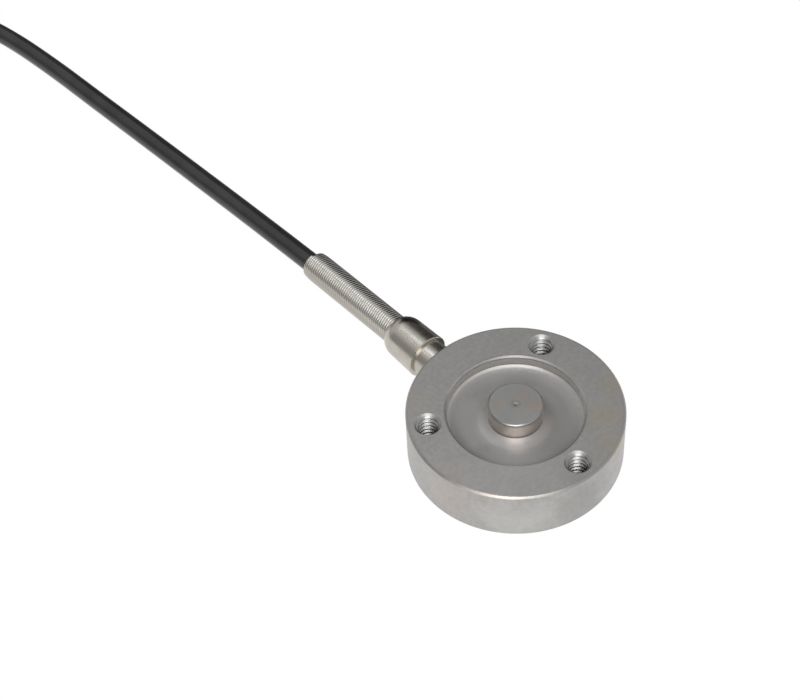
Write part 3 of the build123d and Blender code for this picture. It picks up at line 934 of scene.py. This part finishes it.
# %% Floor: who sees the glow
glow_shares = {"Is Camera Ray": 0.94, "Is Glossy Ray": 0.85, "Is Transmission Ray": 0.94}
glow_share = 0.0
for ray, share in glow_shares.items():
    glow_share = worked_out(paint, "MULTIPLY_ADD", rays[ray], share, glow_share)
floor_color = 0.8, 0.8, 0.8, 1
lit = put(paint, "ShaderNodeBsdfDiffuse", {"Color": floor_color}).outputs[0]
both = put(paint, "ShaderNodeMixShader", {0: glow_share, 1: lit, 2: glow.outputs[0]})
put(paint, "ShaderNodeOutputMaterial", {"Surface": both.outputs[0]})
print("floor glow by ray:", glow_shares)

# %% [markdown]
# ## Light
# The photograph's light comes from the camera's side: edges that face it are bright, and flat
# faces, which mirror the far side of the room, are a middle grey. A key softbox stands there. A
# smaller, cool one high behind the sensor puts the bright stripe on the polished relief, and a
# narrow, warm one beside it adds a second glint. Bare lamps would light as well, but polished
# metal shows the lamp's own shape.

# %% Softboxes
lamp_distance = 0.6


def softbox(name, direction, width, height, radiance, color=(1, 1, 1)):
    """A rectangular lamp that looks at the sensor. Its energy is its radiance, pi and its area."""
    data = bpy.data.lights.new(name, "AREA")
    data.shape = "RECTANGLE"
    data.size = width
    data.size_y = height
    data.energy = radiance * math.pi * width * height
    data.color = color
    lamp = bpy.data.objects.new(name, data)
    towards_lamp = Vector(direction).normalized()
    lamp.location = towards_lamp * lamp_distance
    lamp.rotation_euler = towards_lamp.to_track_quat("Z", "Y").to_euler()
    bpy.context.collection.objects.link(lamp)
    print(name, "gives", round(data.energy, 3), "W")


key_direction = -0.50, -0.53, 0.68
softbox("key", key_direction, width=0.38, height=0.38, radiance=2.15)
cool = 0.80, 0.91, 1.0
warm = 1.0, 0.86, 0.72
softbox("stripe", (0.0, 0.46, 0.88), width=0.16, height=0.18, radiance=1.5, color=cool)
softbox("glint", (-0.27, 0.45, 0.85), width=0.03, height=0.18, radiance=2.2, color=warm)

# %% [markdown]
# ## Room
# Metal shows its whole surroundings, so the world has to be a room, and a plain colour won't do.
# The room's tone depends on the direction alone: dim low down, brighter above, with a soft glow
# round the key and two dark walls, one on the far right and one low on the far left.

# %% Directions in the room
world = bpy.data.worlds.new("room")
bpy.context.scene.world = world
world.use_nodes = True
room = world.node_tree
sight = put(room, "ShaderNodeTexCoord").outputs["Generated"]


def lobe(direction, angle, softness):
    """A mask of directions: 1 within an angle of one direction, in degrees, with a soft border."""
    middle = Vector(direction).normalized()
    facing = put(room, "ShaderNodeVectorMath", {0: sight, 1: middle}, operation="DOT_PRODUCT")
    outer = math.cos(math.radians(angle + softness))
    inner = math.cos(math.radians(angle - softness))
    return softened(room, facing.outputs["Value"], outer, inner)


# %% The room's tone
low_tone = 0.42
tone_rise = 0.26
key_glow = 0.3
wall_softness = 8
# For each dark wall: its direction, its angle and what it takes from the tone.
dark_walls = [((0.74, 0.60, 0.345), 27, -0.92), ((-0.80, 0.45, 0.38), 18, -0.5)]
sight_height = put(room, "ShaderNodeSeparateXYZ", {0: sight}).outputs[2]
above = softened(room, sight_height, low=0.0, high=0.35)
tone = worked_out(room, "MULTIPLY_ADD", above, tone_rise, low_tone)
key_lobe = lobe(key_direction, angle=26, softness=20)
tone = worked_out(room, "MULTIPLY_ADD", key_lobe, key_glow, tone)
for direction, angle, loss in dark_walls:
    kept = worked_out(room, "MULTIPLY_ADD", lobe(direction, angle, wall_softness), loss, 1.0)
    tone = worked_out(room, "MULTIPLY", tone, kept)
room.links.new(tone, room.nodes["Background"].inputs["Color"])
bpy.context.scene.view_settings.view_transform = "Standard"
print("dark walls in the room:", len(dark_walls))
